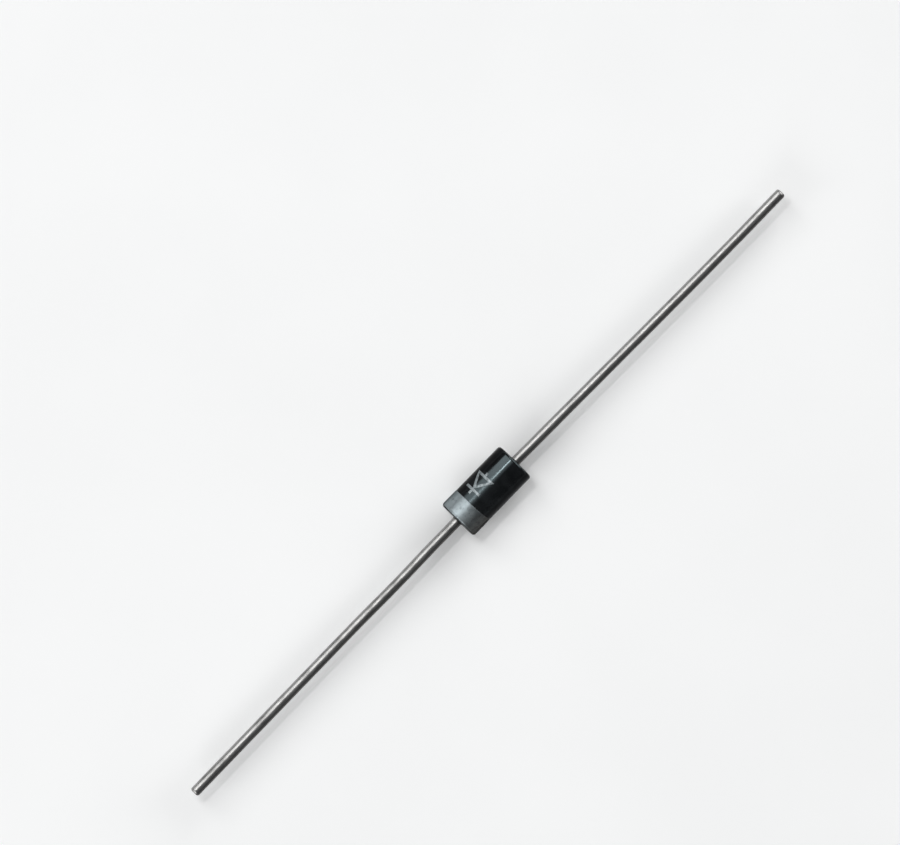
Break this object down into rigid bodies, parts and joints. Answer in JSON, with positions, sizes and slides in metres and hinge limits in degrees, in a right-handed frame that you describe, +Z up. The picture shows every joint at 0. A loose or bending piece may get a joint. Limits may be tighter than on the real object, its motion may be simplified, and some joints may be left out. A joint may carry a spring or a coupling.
{
  "type": "axial rectifier diode",
  "caption": "Axial rectifier diode: a black moulded cylinder with a silver band round its cathode end and a long tinned wire lead out of each end, for soldering into a board.",
  "frame": {"origin": "the middle of the moulded body, on the axis of the wires", "axes": "+X along the wires from the cathode end, which has the band, to the anode end; +Z up; the anode lead bows slightly towards -Y"},
  "size_m": [0.061, 0.0032, 0.0032],
  "materials": {
    "epoxy_moulding": "satin black moulding compound",
    "silver_ink": "printed silver ink, slightly uneven",
    "tinned_copper": "tin plate with fine drawing lines",
    "solder": "dull solder",
    "silicon": "polished dark grey, metallised faces",
    "silicone_rubber": "cloudy white rubber"
  },
  "bodies": {
    "root": {"moulded_body": "epoxy_moulding", "cathode_band": "silver_ink", "cathode_lead": "tinned_copper", "anode_lead": "tinned_copper", "cathode_solder": "solder", "anode_solder": "solder", "silicon_die": "silicon", "junction_coating": "silicone_rubber"}
  },
  "joints": []
}
